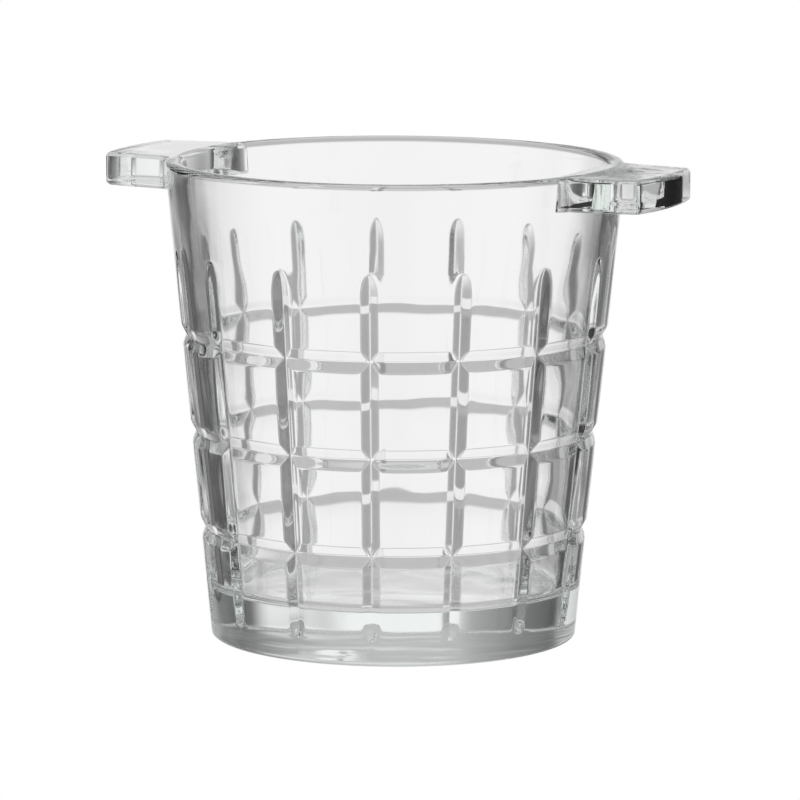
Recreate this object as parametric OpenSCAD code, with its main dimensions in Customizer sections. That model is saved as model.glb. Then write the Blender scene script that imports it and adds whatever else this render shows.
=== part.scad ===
// Round ice bucket in clear pressed glass.
// A tapered bucket stands on a thick bottom. Its wall is cut with upright V grooves, crossed by
// level V rings, under a plain lip, and two flat lugs stand out level with the rim.
// The real bucket is one casting: the modules are its regions, parted where its form changes.
// The origin is at the middle of the foot, +Z is up, and the lugs lie along X.

/* [Bucket] */

// Height of the bucket
height = 135; // [100:1:180]
// Diameter at the rim
rim_diameter = 129.4; // [106:0.2:148]
// Diameter at the foot, before its edge is rounded
foot_diameter = 103; // [84:0.2:124]

/* [Glass] */

// Thickness of the wall at the rim
rim_wall = 4.6; // [3.8:0.1:6.4]
// Thickness of the wall at the floor
floor_wall = 6.4; // [4.2:0.1:9]
// Height of the inside floor above the table
floor_height = 14.5; // [9:0.5:20]
// Radius of the corner between the floor and the wall
floor_corner = 3.4; // [1:0.2:6]
// Radius of the rim's inner edge
rim_inner_round = 2.1; // [0.8:0.1:2.4]
// Radius of the rim's outer edge
rim_outer_round = 1.5; // [0.6:0.1:2]
// Radius of the foot's edge
foot_round = 1.5; // [0.6:0.1:4]
// Depth of the hollow under the bottom
hollow_depth = 0.8; // [0.4:0.1:3]
// Width of the flat ring that the bucket rests on
rest_width = 3.6; // [2:0.1:8]

/* [Cuts] */

// Number of upright grooves
column_count = 15; // [9:1:24]
// Width of an upright groove
column_width = 4.8; // [2.5:0.1:8]
// Height of an upright groove's lower tip
column_bottom = 7.3; // [5:0.1:15]
// Height of an upright groove's upper tip, as a share of the bucket's height
column_top_share = 0.818; // [0.7:0.002:0.84]
// Length over which a groove runs out at each tip
run_out = 7; // [3:0.5:14]
// Number of level rings
ring_count = 3; // [1:1:3]
// Width of a ring
ring_width = 5.6; // [2.5:0.1:8]
// Height of the lowest ring, as a share of the bucket's height
ring_low_share = 0.2304; // [0.2:0.0004:0.3]
// Distance from one ring to the next, as a share of the bucket's height
ring_pitch_share = 0.203; // [0.12:0.001:0.22]
// Depth of an upright groove
column_depth = 1.45; // [0.65:0.1:2.35]
// Depth of a ring
ring_depth = 1.3; // [0.6:0.1:2.4]

/* [Lugs] */

// Distance from the end of one lug to the end of the other
lug_span = 167.8; // [146:0.2:220]
// Width of a lug where it meets the wall
lug_root_width = 48.6; // [40:0.2:60]
// Width of a lug at its outer corners
lug_tip_width = 38.4; // [24:0.2:46]
// Thickness of a lug
lug_thickness = 9.5; // [6:0.1:14]
// Radius of a lug's outer corners, seen from above
lug_corner = 2.6; // [1.4:0.1:6]
// Radius of a lug's top and bottom outer edges
lug_edge = 1; // [0.4:0.1:2]

/* [Hidden] */

$fn = 180;
glass_colour = [0.86, 0.9, 0.88, 0.5];

rim_radius = rim_diameter / 2;
foot_radius = foot_diameter / 2;
tip_radius = lug_span / 2;
flare = (rim_radius - foot_radius) / height;
column_top = height * column_top_share;
ring_low = height * ring_low_share;
ring_pitch = height * ring_pitch_share;
// The base ends above the floor's corner, and the grooved wall ends above the grooves.
land = 2.6;
base_top = floor_height + floor_corner + land;
band_bottom = column_top + land;
// The slope at the edge of the hollow under the bottom.
hollow_slope = 1.6;
rest_outer = foot_radius - foot_round;
rest_inner = rest_outer - rest_width;
// A cutter stands this far out of the surface that it cuts.
over = 1.5;
// A groove's valley leaves the wall at its tips and ends this far above it.
lift = 0.2;
run_out_steps = 4;
arc_steps = 5;
edge_steps = 3;
// Round bodies start halfway between two grooves, well away from the lugs.
seam_angle = (floor(column_count / 4) + 0.5) * 360 / column_count;

function outer_radius(z) = foot_radius + flare * z;
// The wall thickens evenly from the rim down to the floor.
function thickness(z) = rim_wall + (floor_wall - rim_wall) * (height - z) / (height - floor_height);
function inner_radius(z) = outer_radius(z) - thickness(z);
function unit(v) = v / norm(v);
function heading(angle) = [cos(angle), sin(angle)];

// A section turned about the bucket's axis.
module turned() {
  rotate(seam_angle) rotate_extrude() children();
}

// What a round edge takes off a corner, or fills it with. The corner is at p, and a and b lie
// along its two sides.
module corner_waste(p, a, b, radius) {
  along_a = unit(a - p);
  along_b = unit(b - p);
  half_angle = acos(along_a * along_b) / 2;
  reach = radius / tan(half_angle);
  centre = p + unit(along_a + along_b) * radius / sin(half_angle);
  difference() {
    polygon([p, p + along_a * reach, centre, p + along_b * reach]);
    translate(centre) circle(radius);
  }
}

// The bucket's half section between two heights, before any groove is cut.
module section(low, high) {
  foot = [foot_radius, 0];
  rim = [rim_radius, height];
  lip = [inner_radius(height), height];
  floor_edge = [inner_radius(floor_height), floor_height];
  floor_middle = [0, floor_height];
  rest_edge = [rest_inner, 0];
  hollow_edge = [rest_inner - hollow_slope, hollow_depth];
  intersection() {
    difference() {
      polygon([[0, hollow_depth], hollow_edge, rest_edge, foot, rim, lip, floor_edge, floor_middle]);
      corner_waste(lip, rim, floor_edge, rim_inner_round);
      corner_waste(foot, rest_edge, rim, foot_round);
    }
    translate([0, low]) square([lug_span, high - low]);
  }
  if (low < floor_height) corner_waste(floor_edge, lip, floor_middle, floor_corner);
}

// The cutter of one upright groove, on the +X side. Its valley keeps its depth under the sloping
// wall, and rises to the surface along a quarter ellipse at each tip.
module column_cutter() {
  slope = column_width / 2 / column_depth;
  turns = [for (i = [0:run_out_steps]) i * 90 / run_out_steps];
  rise = column_depth + lift;
  low_end = [for (a = turns) [column_bottom + run_out * (1 - cos(a)), rise * sin(a) - lift]];
  high_end = [for (a = turns) [column_top - run_out * (1 - sin(a)), rise * cos(a) - lift]];
  stations = concat(low_end, high_end);
  last = len(stations) - 1;
  points = [
    for (s = stations)
      let (surface = outer_radius(s[0]), half = slope * (s[1] + over))
        each [[surface - s[1], 0, s[0]], [surface + over, half, s[0]], [surface + over, -half, s[0]]]
  ];
  sides = [
    for (i = [0:last - 1], k = [0:2])
      let (next = (k + 1) % 3) [3 * i + k, 3 * i + next, 3 * i + 3 + next, 3 * i + 3 + k]
  ];
  polyhedron(points, concat([[2, 1, 0]], sides, [[3 * last, 3 * last + 1, 3 * last + 2]]));
}

// The cutters of all the upright grooves.
module columns() {
  for (i = [0:column_count - 1]) rotate(i * 360 / column_count) column_cutter();
}

// The cutters of the level rings.
module rings() {
  out = ring_depth + over;
  half = out * ring_width / 2 / ring_depth;
  for (i = [0:ring_count - 1]) {
    z = ring_low + i * ring_pitch;
    valley = outer_radius(z) - ring_depth;
    turned() polygon([[valley, z], [valley + out, z - half], [valley + out, z + half]]);
  }
}

// The half outline of a lug on the +X side, seen from above and drawn in by inset. It runs from the
// middle of the curved end, which is an arc about the bucket's axis, to a point inside the wall.
function lug_half(inset) =
  let (
    root_y = lug_root_width / 2,
    tip_y = lug_tip_width / 2,
    root = [sqrt(pow(rim_radius, 2) - pow(root_y, 2)), root_y],
    tip = [sqrt(pow(tip_radius, 2) - pow(tip_y, 2)), tip_y],
    side = unit(tip - root),
    outward = [-side[1], side[0]],
    // The round corner touches the side and the curved end.
    on_line = tip - outward * lug_corner,
    back = on_line * side,
    slack = pow(back, 2) - on_line * on_line + pow(tip_radius - lug_corner, 2),
    centre = on_line + side * (sqrt(slack) - back),
    end_angle = atan2(centre[1], centre[0]),
    side_angle = atan2(outward[1], outward[0])
  )
    concat(
      [for (i = [0:arc_steps - 1]) (tip_radius - inset) * heading(i * end_angle / arc_steps)],
      [
        for (i = [0:arc_steps])
          centre + (lug_corner - inset) * heading(end_angle + i * (side_angle - end_angle) / arc_steps)
      ],
      [root + root - tip - outward * inset]
    );

// The whole outline of a lug, counterclockwise.
function lug_outline(inset) =
  let (half = lug_half(inset), last = len(half) - 1)
    concat([for (i = [last:-1:1]) [half[i][0], -half[i][1]]], half);

// A lug on the +X side, ending at the wall's outer face. Its outline draws in over the round top
// and bottom edges.
module lug() {
  turns = [for (i = [0:edge_steps]) i * 90 / edge_steps];
  low = [for (a = turns) [lug_edge * (1 - sin(a)), height - lug_thickness + lug_edge * (1 - cos(a))]];
  high = [for (a = turns) [lug_edge * (1 - cos(a)), height - lug_edge * (1 - sin(a))]];
  levels = concat(low, high);
  count = len(lug_outline(0));
  top = count * (len(levels) - 1);
  points = [for (level = levels) each [for (p = lug_outline(level[0])) [p[0], p[1], level[1]]]];
  sides = [
    for (k = [0:len(levels) - 2], i = [0:count - 1])
      let (next = (i + 1) % count, from = k * count)
        [from + i, from + count + i, from + count + next, from + next]
  ];
  caps = [[for (i = [0:count - 1]) i], [for (i = [count - 1:-1:0]) top + i]];
  difference() {
    polyhedron(points, concat(sides, caps), convexity = 4);
    rotate(seam_angle) cylinder(h = height + over, r1 = foot_radius, r2 = outer_radius(height + over));
  }
}

// The thick bottom, with the foot and the start of the wall.
module base() {
  color(glass_colour) difference() {
    turned() section(0, base_top);
    columns();
  }
}

// The grooved wall.
module cut_wall() {
  color(glass_colour) difference() {
    turned() section(base_top, band_bottom);
    columns();
    rings();
  }
}

// The plain band and the rim. The rim's outer edge is round except where a lug joins it.
module rim_band() {
  color(glass_colour) difference() {
    turned() section(band_bottom, height);
    difference() {
      turned() corner_waste([rim_radius, height], [foot_radius, 0], [0, height], rim_outer_round);
      linear_extrude(height + over) polygon(lug_outline(0));
      mirror([1, 0, 0]) linear_extrude(height + over) polygon(lug_outline(0));
    }
  }
}

// The lug on the -X side.
module left_lug() {
  color(glass_colour) mirror([1, 0, 0]) lug();
}

// The lug on the +X side.
module right_lug() {
  color(glass_colour) lug();
}

base();
cut_wall();
rim_band();
left_lug();
right_lug();
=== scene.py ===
import math

import bmesh
import bpy
from mathutils import Matrix, Vector


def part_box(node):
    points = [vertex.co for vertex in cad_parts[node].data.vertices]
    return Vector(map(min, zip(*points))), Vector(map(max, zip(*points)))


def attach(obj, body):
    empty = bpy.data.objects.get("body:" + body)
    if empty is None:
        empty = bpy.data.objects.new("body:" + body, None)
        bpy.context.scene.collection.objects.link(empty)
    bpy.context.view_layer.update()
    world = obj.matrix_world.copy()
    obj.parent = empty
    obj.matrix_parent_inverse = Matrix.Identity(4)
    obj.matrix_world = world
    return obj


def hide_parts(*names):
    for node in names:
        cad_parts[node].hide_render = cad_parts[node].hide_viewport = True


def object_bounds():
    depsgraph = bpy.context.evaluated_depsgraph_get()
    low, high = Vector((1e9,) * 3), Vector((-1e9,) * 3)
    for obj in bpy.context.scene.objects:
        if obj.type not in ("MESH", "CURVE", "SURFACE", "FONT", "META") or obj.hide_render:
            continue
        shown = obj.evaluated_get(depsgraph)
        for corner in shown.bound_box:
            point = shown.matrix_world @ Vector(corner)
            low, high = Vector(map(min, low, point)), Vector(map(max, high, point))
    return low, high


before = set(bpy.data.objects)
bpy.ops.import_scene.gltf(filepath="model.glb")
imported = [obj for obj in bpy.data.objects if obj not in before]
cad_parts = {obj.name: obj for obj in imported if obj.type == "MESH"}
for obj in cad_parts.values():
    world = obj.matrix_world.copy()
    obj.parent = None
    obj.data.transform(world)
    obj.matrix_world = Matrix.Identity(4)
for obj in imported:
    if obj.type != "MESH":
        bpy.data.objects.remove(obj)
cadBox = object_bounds()
print("stage 1: frame loaded")

mm = 0.001


# ---- shader and geometry node helpers


class Wire:
    # one node socket, so that shader maths reads as ordinary Python
    def __init__(self, tree, socket):
        self.tree = tree
        self.socket = socket

    def maths(self, operation, first, second=None):
        values = {0: first} if second is None else {0: first, 1: second}
        return self.tree.node("ShaderNodeMath", {"operation": operation}, values)[0]

    def __add__(self, other):
        return self.maths("ADD", self, other)

    __radd__ = __add__

    def __mul__(self, other):
        return self.maths("MULTIPLY", self, other)

    __rmul__ = __mul__

    def __sub__(self, other):
        return self.maths("SUBTRACT", self, other)

    def __rsub__(self, other):
        return self.maths("SUBTRACT", other, self)

    def __truediv__(self, other):
        return self.maths("DIVIDE", self, other)

    def __abs__(self):
        return self.maths("ABSOLUTE", self)

    def __gt__(self, other):
        return self.maths("GREATER_THAN", self, other)


class Tree:
    # a node tree with one way to add a node
    def __init__(self, nodeTree):
        self.nodeTree = nodeTree

    def node(self, kind, settings=None, values=None):
        made = self.nodeTree.nodes.new(kind)
        for name, value in (settings or {}).items():
            if name == "stops":
                self.fillRamp(made.color_ramp, value)
            else:
                setattr(made, name, value)
        for key, value in (values or {}).items():
            if isinstance(value, Wire):
                self.nodeTree.links.new(value.socket, made.inputs[key])
            else:
                made.inputs[key].default_value = value
        return [Wire(self, out) for out in made.outputs if out.enabled]

    def fillRamp(self, ramp, stops):
        while len(ramp.elements) < len(stops):
            ramp.elements.new(1)
        for element, (place, shade) in zip(ramp.elements, stops):
            element.position = place
            element.color = (shade, shade, shade, 1)


def blankMaterial(name):
    material = bpy.data.materials.new(name)
    material.use_nodes = True
    material.node_tree.nodes.clear()
    return material, Tree(material.node_tree)


# ---- camera

view = {
    "azimuth": 24.46,  # degrees from -Y towards +X
    "distance": 1.6325,  # level distance from the bucket's axis
    "height": 0.3155,
    "lookDown": 8.666,
    "roll": 0.248,
    "yaw": 0.057,
    "lens": 263.24,
    "sensor": 36.0,
}


def addCamera():
    data = bpy.data.cameras.new("camera")
    data.lens = view["lens"]
    data.sensor_width = view["sensor"]
    data.clip_start = 0.05
    data.clip_end = 50
    camera = bpy.data.objects.new("camera", data)
    bpy.context.scene.collection.objects.link(camera)
    around = math.radians(view["azimuth"])
    place = Vector((math.sin(around), -math.cos(around), 0)) * view["distance"]
    place.z = view["height"]
    turn = (
        Matrix.Rotation(around - math.radians(view["yaw"]), 4, "Z")
        @ Matrix.Rotation(math.radians(90 - view["lookDown"]), 4, "X")
        @ Matrix.Rotation(math.radians(view["roll"]), 4, "Z")
    )
    camera.matrix_world = Matrix.Translation(place) @ turn
    bpy.context.scene.camera = camera


addCamera()
print("stage 2: camera placed")

# ---- the cast bucket

bucket = {
    "height": cadBox[1][2],
    "footRadius": 51.5 * mm,  # where the wall's cone meets the table
    "rimRadius": 64.7 * mm,  # where the wall's cone meets the rim
    "wallAtRim": 4.6 * mm,  # the wall thickens evenly from the rim down to the floor
    "wallAtFloor": 6.4 * mm,
    "floor": 14.5 * mm,
    "floorCorner": 3.4 * mm,
    "lipInner": 2.1 * mm,
    "lipOuter": 1.5 * mm,
    "footRound": 1.5 * mm,
    "restWidth": 3.6 * mm,
    "hollowDepth": 0.8 * mm,
    "hollowRun": 1.8 * mm,
    "arcSteps": 7,
    "innerSteps": 40,  # mesh lines down the inner wall
    "toArc": 0.4 * mm,  # the wall's mesh lines stop this short of a rounding
    "weld": 0.002 * mm,
    "sharpAngle": 40,
    # places of the mesh lines from the axis out, as shares of the radius
    "underLines": (0.12, 0.35, 0.6, 0.85, 0.97),
    "restLines": (0.3, 0.7),
    "floorLines": (0.92, 0.75, 0.5, 0.25, 0.1),
}
cuts = {
    "columns": 15,
    "columnWidth": 4.8 * mm,
    "columnDepth": 1.45 * mm,
    "columnLow": 7.3 * mm,
    "columnHigh": 110.43 * mm,
    "runOut": 7.0 * mm,
    "rings": 3,
    "ringLow": 31.1 * mm,
    "ringPitch": 27.4 * mm,
    "ringWidth": 5.6 * mm,
    "ringDepth": 1.3 * mm,
    "valleyRound": 0.16 * mm,
    "edgeRound": 0.22 * mm,
    "edgeReach": 6,  # past the edge, in edge rounds, at which the easing has died away
    "crossingRound": 0.05 * mm,  # where a groove and a ring meet
    # places of the mesh lines across a groove and along a groove's tip, as shares of its size
    "across": (0, 0.07, 0.2, 0.38, 0.58, 0.78, 0.92, 1.0, 1.1, 1.3, 1.7),
    "along": (-0.12, -0.04, 0, 0.02, 0.06, 0.12, 0.2, 0.3, 0.42, 0.56, 0.72, 0.88, 1.0),
    "panelLines": 3,
    "closestLines": 0.02 * mm,
    "farthestLines": 5 * mm,
}


def coneRadius(z):
    slope = (bucket["rimRadius"] - bucket["footRadius"]) / bucket["height"]
    return bucket["footRadius"] + slope * z


def innerRadius(z):
    share = (bucket["height"] - z) / (bucket["height"] - bucket["floor"])
    return coneRadius(z) - bucket["wallAtRim"] - (bucket["wallAtFloor"] - bucket["wallAtRim"]) * share


def softMax(a, b, blend):
    return (a + b + math.sqrt((a - b) ** 2 + blend**2)) / 2


def vCut(depth, width, reach, offset):
    # depth of a V at a distance from its valley, with its valley and edges eased
    rounded = math.sqrt(offset**2 + cuts["valleyRound"] ** 2) - cuts["valleyRound"]
    raw = reach - depth / (width / 2) * rounded
    eased = softMax(raw, 0, cuts["edgeRound"])
    return eased if raw > -cuts["edgeReach"] * cuts["edgeRound"] else 0


def columnReach(z):
    # full depth along the wall, a quarter ellipse at each tip, and falling away past it
    fromTip = min(z - cuts["columnLow"], cuts["columnHigh"] - z) / cuts["runOut"]
    if fromTip <= 0:
        return fromTip * cuts["columnDepth"] * 3
    if fromTip >= 1:
        return cuts["columnDepth"]
    return cuts["columnDepth"] * math.sqrt(1 - (1 - fromTip) ** 2)


def ringCut(z):
    deepest = 0
    for i in range(cuts["rings"]):
        offset = z - (cuts["ringLow"] + i * cuts["ringPitch"])
        if abs(offset) < cuts["ringWidth"]:
            ring = vCut(cuts["ringDepth"], cuts["ringWidth"], cuts["ringDepth"], offset)
            deepest = max(deepest, ring)
    return deepest


def wallCut(z, across):
    column = vCut(cuts["columnDepth"], cuts["columnWidth"], columnReach(z), across)
    ring = ringCut(z)
    if column <= 0 or ring <= 0:
        return max(column, ring)
    return softMax(column, ring, cuts["crossingRound"])


def arc(centre, radius, start, end, steps):
    points = []
    for i in range(steps + 1):
        angle = math.radians(start + (end - start) * i / steps)
        points.append((centre[0] + radius * math.cos(angle), centre[1] + radius * math.sin(angle)))
    return points


def spread(start, end, count):
    return [start + (end - start) * i / count for i in range(count + 1)]


def wallHeights(low, high):
    # mesh lines up the outer wall: close together in the rings and at the grooves' tips
    heights = {low, high}
    half = cuts["ringWidth"] / 2
    for i in range(cuts["rings"]):
        middle = cuts["ringLow"] + i * cuts["ringPitch"]
        for share in cuts["across"][:-1]:
            heights |= {middle - half * share, middle + half * share}
    for share in cuts["along"]:
        heights.add(cuts["columnLow"] + cuts["runOut"] * share)
        heights.add(cuts["columnHigh"] - cuts["runOut"] * share)
    ordered = sorted(z for z in heights if low <= z <= high)
    filled = [ordered[0]]
    for z in ordered[1:]:
        gap = z - filled[-1]
        if gap < cuts["closestLines"]:
            continue
        parts = max(1, round(gap / cuts["farthestLines"]))
        filled += [filled[-1] + gap * (i + 1) / parts for i in range(parts)]
    return filled


def bucketSection():
    # the half section as (radius, height, on the cut wall), from under the bottom round to the floor
    b = bucket
    lean = math.degrees(math.atan2(b["rimRadius"] - b["footRadius"], b["height"]))
    innerLean = math.degrees(math.atan2(innerRadius(b["height"]) - innerRadius(0), b["height"]))
    steps = b["arcSteps"]
    restOuter = b["footRadius"] - b["footRound"]
    restInner = restOuter - b["restWidth"]
    section = [(0, b["hollowDepth"], False)]
    flat = restInner - b["hollowRun"]
    section += [(flat * share, b["hollowDepth"], False) for share in b["underLines"]]
    for i in range(steps + 1):
        share = i / steps
        ease = (1 + math.cos(math.pi * share)) / 2
        section.append((flat + b["hollowRun"] * share, b["hollowDepth"] * ease, False))
    section += [(restInner + b["restWidth"] * share, 0, False) for share in b["restLines"]]
    footRadius = coneRadius(b["footRound"]) - b["footRound"] / math.cos(math.radians(lean))
    footCentre = (footRadius, b["footRound"])
    footArc = arc(footCentre, b["footRound"], -90, -lean, steps)
    section += [(r, z, False) for r, z in footArc]
    lipZ = b["height"] - b["lipOuter"]
    lipCentre = (coneRadius(lipZ) - b["lipOuter"] / math.cos(math.radians(lean)), lipZ)
    lipArc = arc(lipCentre, b["lipOuter"], -lean, 90, steps)
    heights = wallHeights(footArc[-1][1] + b["toArc"], lipArc[0][1] - b["toArc"])
    section += [(coneRadius(z), z, True) for z in heights]
    section += [(r, z, False) for r, z in lipArc]
    innerZ = b["height"] - b["lipInner"]
    innerCentre = (innerRadius(innerZ) + b["lipInner"] / math.cos(math.radians(innerLean)), innerZ)
    section += [(r, z, False) for r, z in arc(innerCentre, b["lipInner"], 90, 180 - innerLean, steps)]
    cornerZ = b["floor"] + b["floorCorner"]
    cornerRadius = innerRadius(cornerZ) - b["floorCorner"] / math.cos(math.radians(innerLean))
    cornerArc = arc((cornerRadius, cornerZ), b["floorCorner"], -innerLean, -90, steps)
    low, high = cornerArc[0][1], section[-1][1]
    section += [(innerRadius(z), z, False) for z in spread(high, low, b["innerSteps"])[1:-1]]
    section += [(r, z, False) for r, z in cornerArc]
    section += [(cornerRadius * share, b["floor"], False) for share in b["floorLines"]]
    section.append((0, b["floor"], False))
    return section


def lineAngles(z):
    # angles of the upright mesh lines of one sector, which keep their distance from the groove
    halfSector = math.pi / cuts["columns"]
    radius = coneRadius(z)
    half = [cuts["columnWidth"] / 2 * share / radius for share in cuts["across"]]
    count = cuts["panelLines"] + 1
    half += [half[-1] + (halfSector - half[-1]) * (i + 1) / count for i in range(count)]
    return [-a for a in reversed(half[1:])] + half


def sectorMesh():
    mesh = bpy.data.meshes.new("bucketSector")
    shape = bmesh.new()
    previous = None
    for radius, z, cut in bucketSection():
        if radius == 0:
            row = [shape.verts.new((0, 0, z))]
        else:
            row = []
            for angle in lineAngles(z):
                r = radius - wallCut(z, angle * coneRadius(z)) if cut else radius
                row.append(shape.verts.new((r * math.cos(angle), r * math.sin(angle), z)))
        if previous:
            for i in range(max(len(row), len(previous)) - 1):
                if len(previous) == 1:
                    shape.faces.new((previous[0], row[i + 1], row[i]))
                elif len(row) == 1:
                    shape.faces.new((previous[i], previous[i + 1], row[0]))
                else:
                    shape.faces.new((previous[i], previous[i + 1], row[i + 1], row[i]))
        previous = row
    shape.to_mesh(mesh)
    shape.free()
    return mesh


def ringOfCopiesTree():
    # turns one sector into the whole bucket
    group = bpy.data.node_groups.new("ringOfSectors", "GeometryNodeTree")
    face = group.interface
    face.new_socket("Sector", in_out="INPUT", socket_type="NodeSocketGeometry")
    face.new_socket("Sector Count", in_out="INPUT", socket_type="NodeSocketInt")
    face.new_socket("Seam Distance", in_out="INPUT", socket_type="NodeSocketFloat")
    face.new_socket("Glass", in_out="INPUT", socket_type="NodeSocketMaterial")
    face.new_socket("Bucket", in_out="OUTPUT", socket_type="NodeSocketGeometry")
    tree = Tree(group)
    sector, count, seam, glass = tree.node("NodeGroupInput")[:4]
    points = tree.node(
        "GeometryNodeMeshLine", {"mode": "OFFSET"}, {"Count": count, "Offset": (0, 0, 0)}
    )[0]
    index = tree.node("GeometryNodeInputIndex")[0]
    turn = index * 2 * math.pi / count
    rotation = tree.node("ShaderNodeCombineXYZ", {}, {"Z": turn})[0]
    copies = tree.node(
        "GeometryNodeInstanceOnPoints", {}, {"Points": points, "Instance": sector, "Rotation": rotation}
    )[0]
    solid = tree.node("GeometryNodeRealizeInstances", {}, {"Geometry": copies})[0]
    joined = tree.node("GeometryNodeMergeByDistance", {}, {"Geometry": solid, "Distance": seam})[0]
    finished = tree.node("GeometryNodeSetMaterial", {}, {"Geometry": joined, "Material": glass})[0]
    tree.node("NodeGroupOutput", {}, {0: finished})
    return group


def plainMesh(source, name):
    # the evaluated object as an ordinary mesh
    graph = bpy.context.evaluated_depsgraph_get()
    mesh = bpy.data.meshes.new_from_object(source.evaluated_get(graph), depsgraph=graph)
    mesh.name = name
    return mesh


def linked(name, mesh):
    made = bpy.data.objects.new(name, mesh)
    bpy.context.scene.collection.objects.link(made)
    return made


def bucketBody(glass):
    source = linked("sectorSource", sectorMesh())
    tree = ringOfCopiesTree()
    modifier = source.modifiers.new("ringOfSectors", "NODES")
    modifier.node_group = tree
    wanted = {"Sector Count": cuts["columns"], "Seam Distance": bucket["weld"], "Glass": glass}
    for item in tree.interface.items_tree:
        if item.in_out == "INPUT" and item.name in wanted:
            modifier[item.identifier] = wanted[item.name]
    mesh = plainMesh(source, "glass_bucket")
    sector = source.data
    bpy.data.objects.remove(source)
    bpy.data.meshes.remove(sector)
    return mesh


# ---- the lugs

lug = {
    "tipX": cadBox[1][0],
    "rootWidth": 44.6 * mm,
    "tipWidth": 38.4 * mm,
    "top": cadBox[1][2] - 0.05 * mm,  # just below the rim, so that the two skins cross cleanly
    "bottom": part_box("right_lug")[0][2],
    "corner": 2.6 * mm,
    "edge": 1.5 * mm,
    "edgeSteps": 6,
    "flatInset": 0.5 * mm,  # a loop just inside the rounding keeps the flat faces flat
    "cornerSteps": 8,
    "endSteps": 16,
    "flare": 4.5 * mm,  # radius where a side runs into the wall
    "flareSteps": 10,
    "flareShare": 0.92,  # how much of its turn a flare makes before it is inside the wall
    "inside": 62.6 * mm,  # the lug starts here, in the thickness of the wall
}


def lugOutline(inset):
    # seen from above, on the +X side, counterclockwise
    rootY = lug["rootWidth"] / 2
    tipY = lug["tipWidth"] / 2
    root = Vector((math.sqrt(bucket["rimRadius"] ** 2 - rootY**2), rootY))
    tip = Vector((math.sqrt(lug["tipX"] ** 2 - tipY**2), tipY))
    side = (tip - root).normalized()
    outward = Vector((-side.y, side.x))
    onLine = tip - outward * lug["corner"]
    back = onLine.dot(side)
    slack = back**2 - onLine.length_squared + (lug["tipX"] - lug["corner"]) ** 2
    centre = onLine + side * (math.sqrt(slack) - back)
    endAngle = math.atan2(centre.y, centre.x)
    sideAngle = math.atan2(outward.y, outward.x)
    half = []
    for i in range(lug["endSteps"]):
        angle = endAngle * i / lug["endSteps"]
        half.append(Vector((math.cos(angle), math.sin(angle))) * (lug["tipX"] - inset))
    for i in range(lug["cornerSteps"] + 1):
        angle = endAngle + (sideAngle - endAngle) * i / lug["cornerSteps"]
        half.append(centre + Vector((math.cos(angle), math.sin(angle))) * (lug["corner"] - inset))
    # the side bends out into the wall
    bend = lug["flare"]
    wallTurn = math.atan2(root.y, root.x) + math.pi / 2
    sideTurn = math.atan2(-side.y, -side.x) % (2 * math.pi)
    sweep = sideTurn - wallTurn
    start = root + side * bend * math.tan(abs(sweep) / 2) if abs(sweep) < math.pi else root
    flareCentre = start + outward * bend
    for i in range(lug["flareSteps"] + 1):
        angle = sideAngle + math.pi - sweep * lug["flareShare"] * i / lug["flareSteps"]
        half.append(flareCentre + Vector((math.cos(angle), math.sin(angle))) * (bend + inset))
    last = half[-1]
    half.append(last * (lug["inside"] / last.length))
    return [Vector((p.x, -p.y)) for p in reversed(half[1:])] + half


def lugMesh(side):
    shape = bmesh.new()
    steps = lug["edgeSteps"]
    edge, low, high = lug["edge"], lug["bottom"], lug["top"]
    turns = [math.pi / 2 * i / steps for i in range(steps + 1)]
    levels = [(edge + lug["flatInset"], low)]
    levels += [(edge * (1 - math.sin(a)), low + edge * (1 - math.cos(a))) for a in turns]
    levels += [(edge * (1 - math.cos(a)), high - edge * (1 - math.sin(a))) for a in turns]
    levels.append((edge + lug["flatInset"], high))
    rows = []
    for inset, z in levels:
        outline = lugOutline(inset)
        rows.append([shape.verts.new((side * p.x, side * p.y, z)) for p in outline])
    count = len(rows[0])
    for lower, upper in zip(rows, rows[1:]):
        for i in range(count):
            n = (i + 1) % count
            shape.faces.new((lower[i], lower[n], upper[n], upper[i]))
    shape.faces.new(list(reversed(rows[0])))
    shape.faces.new(rows[-1])
    mesh = bpy.data.meshes.new("lug")
    shape.to_mesh(mesh)
    shape.free()
    return mesh


def joinLugs(body):
    # the bucket and both lugs become one closed skin
    for side in (-1, 1):
        tool = linked("lugTool", lugMesh(side))
        union = body.modifiers.new("union", "BOOLEAN")
        union.operation = "UNION"
        union.solver = "EXACT"
        union.object = tool
        mesh = plainMesh(body, "glass_bucket")
        body.modifiers.clear()
        spent = (body.data, tool.data)
        body.data = mesh
        bpy.data.objects.remove(tool)
        for old in spent:
            bpy.data.meshes.remove(old)


def finishSkin(mesh, glass):
    # weld, shade smooth except at the corners, and say how sound the skin is
    shape = bmesh.new()
    shape.from_mesh(mesh)
    bmesh.ops.remove_doubles(shape, verts=shape.verts, dist=bucket["weld"])
    loose = sum(1 for edge in shape.edges if len(edge.link_faces) != 2)
    millilitres = shape.calc_volume() * 1e6
    print("edges without two faces:", loose, "faces:", len(shape.faces), "volume ml:", millilitres)
    shape.to_mesh(mesh)
    shape.free()
    for polygon in mesh.polygons:
        polygon.use_smooth = True
        polygon.material_index = 0
    mesh.set_sharp_from_angle(angle=math.radians(bucket["sharpAngle"]))
    mesh.materials.clear()
    mesh.materials.append(glass)


# ---- clear glass

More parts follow.
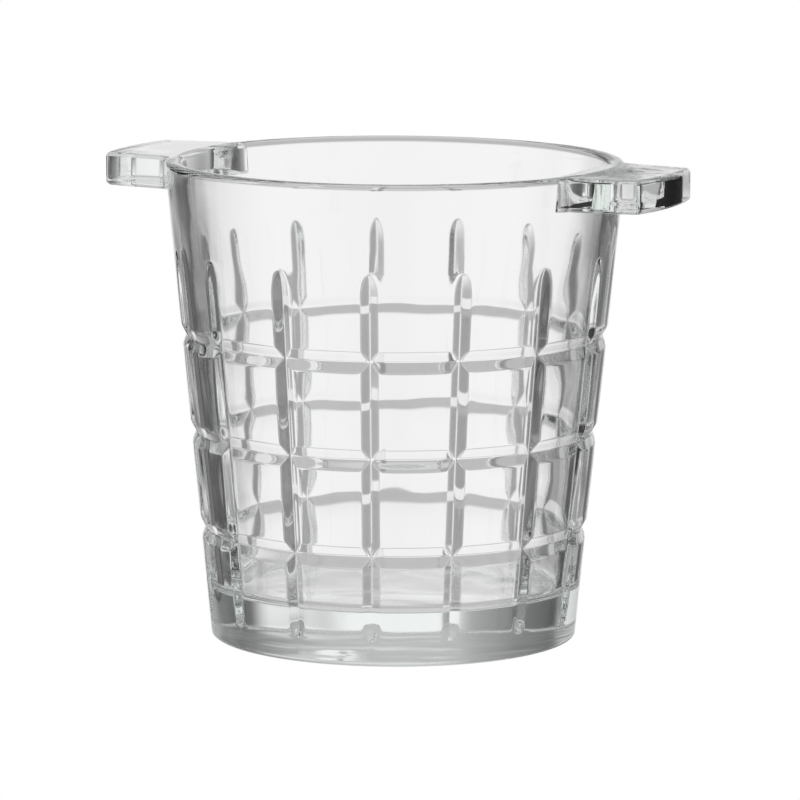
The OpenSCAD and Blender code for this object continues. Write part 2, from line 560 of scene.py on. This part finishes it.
glassLook = {
    "lugFrom": 0.063,  # distance from the axis along X where the wall gives way to a lug
    "lugAt": 0.067,
    "ior": 1.52,
    "roughness": 0.035,
    "footRoughness": 0.3,  # the foot's edge is ground, and fades to smooth between these heights
    "footLow": 1.04 * mm,
    "footHigh": 1.56 * mm,
    "footOutside": 45.5 * mm,
    "tint": (0.86, 0.95, 0.90, 1),
    "tintDensity": 3.6,
    "waveScale": 44.0,
    "rippleScale": 105.0,
    "rippleOnLug": 0.2,
    "rippleOnBucket": 0.02,
    "waveSoftness": 0.4,
    "waveHeight": 0.00045,
}


def clearGlass():
    material, tree = blankMaterial("clear_glass")
    place = tree.node("ShaderNodeTexCoord")[3]
    look = glassLook
    soft = {"Vector": place, "Detail": 1.0, "Roughness": look["waveSoftness"]}
    waves = tree.node("ShaderNodeTexNoise", {}, {**soft, "Scale": look["waveScale"]})[0]
    x, y, z = tree.node("ShaderNodeSeparateXYZ", {}, {"Vector": place})
    # the lugs are wavier than the bucket
    onLug = tree.node(
        "ShaderNodeMapRange",
        {},
        {"Value": abs(x), "From Min": look["lugFrom"], "From Max": look["lugAt"]},
    )[0]
    ripples = tree.node("ShaderNodeTexNoise", {}, {**soft, "Scale": look["rippleScale"]})[0]
    height = waves + ripples * (onLug * look["rippleOnLug"] + look["rippleOnBucket"])
    bump = tree.node(
        "ShaderNodeBump", {}, {"Strength": 1.0, "Distance": look["waveHeight"], "Height": height}
    )[0]
    low = tree.node(
        "ShaderNodeMapRange",
        {},
        {"Value": z, "From Min": look["footHigh"], "From Max": look["footLow"]},
    )[0]
    ground = low * ((x * x + y * y) > look["footOutside"] ** 2)
    roughness = look["roughness"] + ground * (look["footRoughness"] - look["roughness"])
    shader = tree.node(
        "ShaderNodeBsdfPrincipled",
        {},
        {
            "Base Color": (1, 1, 1, 1),
            "Roughness": roughness,
            "IOR": look["ior"],
            "Transmission Weight": 1.0,
            "Normal": bump,
        },
    )[0]
    depth = tree.node(
        "ShaderNodeVolumeAbsorption", {}, {"Color": look["tint"], "Density": look["tintDensity"]}
    )[0]
    tree.node("ShaderNodeOutputMaterial", {}, {"Surface": shader, "Volume": depth})
    return material


glass = clearGlass()
body = linked("glass_bucket", bucketBody(glass))
print("stage 3: bucket cast,", len(body.data.polygons), "faces")
joinLugs(body)
print("stage 4: lugs joined")
finishSkin(body.data, glass)
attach(body, "root")
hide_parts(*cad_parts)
print("stage 5: glass finished")

# ---- floor and light

studio = {
    "floorRadius": 0.42,
    "floorDrop": 0.2 * mm,  # the floor lies this far under the foot
    "floorSides": 96,
    # brightness around the studio, by angle from the middle of the backdrop
    "around": [
        (0, 0.46),
        (14, 0.42),
        (20, 0.30),
        (32, 0.13),
        (46, 0.06),
        (60, 0.18),
        (80, 0.56),
        (110, 0.95),
        (180, 0.72),
    ],
    "above": (4.0, 38.0, 0.72),  # heights in degrees between which it turns to this brightness
    "below": (-26.0, -55.0, 0.62),
    "edge": 9.0,  # degrees over which a window fades out
    "bounces": 24,
    "glossyBounces": 12,
}
# soft windows behind the bucket: azimuth seen from, low and high edge, half width, brightness
windows = {
    "front": (view["azimuth"], -14.5, 8.0, 13.0, 0.91),
    "square": (0.0, -6.0, 9.0, 10.0, 0.86),
    "side": (90.0, -6.0, 9.0, 12.0, 0.90),
    "above": (45.0, -34.0, -19.0, 11.0, 0.84),
    "back": (225.0, -24.0, -6.0, 12.0, 0.90),
}


def addFloor():
    mesh = bpy.data.meshes.new("floor")
    shape = bmesh.new()
    bmesh.ops.create_circle(
        shape, cap_ends=True, segments=studio["floorSides"], radius=studio["floorRadius"]
    )
    bmesh.ops.translate(shape, verts=shape.verts, vec=(0, 0, -studio["floorDrop"]))
    shape.to_mesh(mesh)
    shape.free()
    floor = linked("floor", mesh)
    material, tree = blankMaterial("pale_floor")
    light = tree.node("ShaderNodeEmission", {}, {"Color": (1, 1, 1, 1), "Strength": 1.0})[0]
    tree.node("ShaderNodeOutputMaterial", {}, {"Surface": light})
    mesh.materials.append(material)
    # only the camera sees the floor: the glass takes all its light from the studio around it
    floor.visible_transmission = False
    floor.visible_glossy = False
    floor.visible_diffuse = False


def aside(tree, around, seenFrom):
    # degrees sideways from the point straight behind the bucket, seen from an azimuth
    turned = {0: around - (seenFrom + 90), 1: 180.0, 2: -180.0}
    return abs(tree.node("ShaderNodeMath", {"operation": "WRAP"}, turned)[0])


def windowShare(tree, around, upward, window):
    # 1 inside a window and 0 outside it, and the window's brightness
    seenFrom, low, high, halfWidth, level = window
    sideways = aside(tree, around, seenFrom)
    tall = abs(upward - (low + high) / 2)
    share = 1.0
    for distance, reach in ((sideways, halfWidth), (tall, (high - low) / 2)):
        edge = tree.node(
            "ShaderNodeMapRange",
            {"interpolation_type": "SMOOTHSTEP"},
            {
                "Value": distance,
                "From Min": reach - studio["edge"] / 2,
                "From Max": reach + studio["edge"] / 2,
                "To Min": 1.0,
                "To Max": 0.0,
            },
        )[0]
        share = edge * share
    return share, level


def addStudioLight():
    world = bpy.data.worlds.new("studio")
    bpy.context.scene.world = world
    world.use_nodes = True
    world.node_tree.nodes.clear()
    tree = Tree(world.node_tree)
    direction = tree.node("ShaderNodeTexCoord")[0]
    x, y, z = tree.node("ShaderNodeSeparateXYZ", {}, {"Vector": direction})
    around = tree.node("ShaderNodeMath", {"operation": "ARCTAN2"}, {0: y, 1: x})[0] * math.degrees(1)
    upward = tree.node("ShaderNodeMath", {"operation": "ARCSINE"}, {0: z})[0] * math.degrees(1)
    stops = [(angle / 180, shade) for angle, shade in studio["around"]]
    behind = aside(tree, around, view["azimuth"]) / 180
    level = tree.node("ShaderNodeValToRGB", {"stops": stops}, {"Fac": behind})[0]
    for start, end, shade in (studio["above"], studio["below"]):
        share = tree.node(
            "ShaderNodeMapRange",
            {"interpolation_type": "SMOOTHSTEP"},
            {"Value": upward, "From Min": start, "From Max": end},
        )[0]
        level = level + share * (shade - level)
    for window in windows.values():
        share, bright = windowShare(tree, around, upward, window)
        level = level + share * (bright - level)
    seen = tree.node("ShaderNodeLightPath")[0]
    # the camera sees plain white, and everything else sees the studio
    strength = seen + (1 - seen) * level
    light = tree.node("ShaderNodeBackground", {}, {"Color": (1, 1, 1, 1), "Strength": strength})[0]
    tree.node("ShaderNodeOutputWorld", {}, {"Surface": light})
    scene = bpy.context.scene
    scene.view_settings.view_transform = "Standard"
    scene.cycles.max_bounces = studio["bounces"]
    scene.cycles.transmission_bounces = studio["bounces"]
    scene.cycles.glossy_bounces = studio["glossyBounces"]


addFloor()
addStudioLight()
print("stage 6: floor and light")
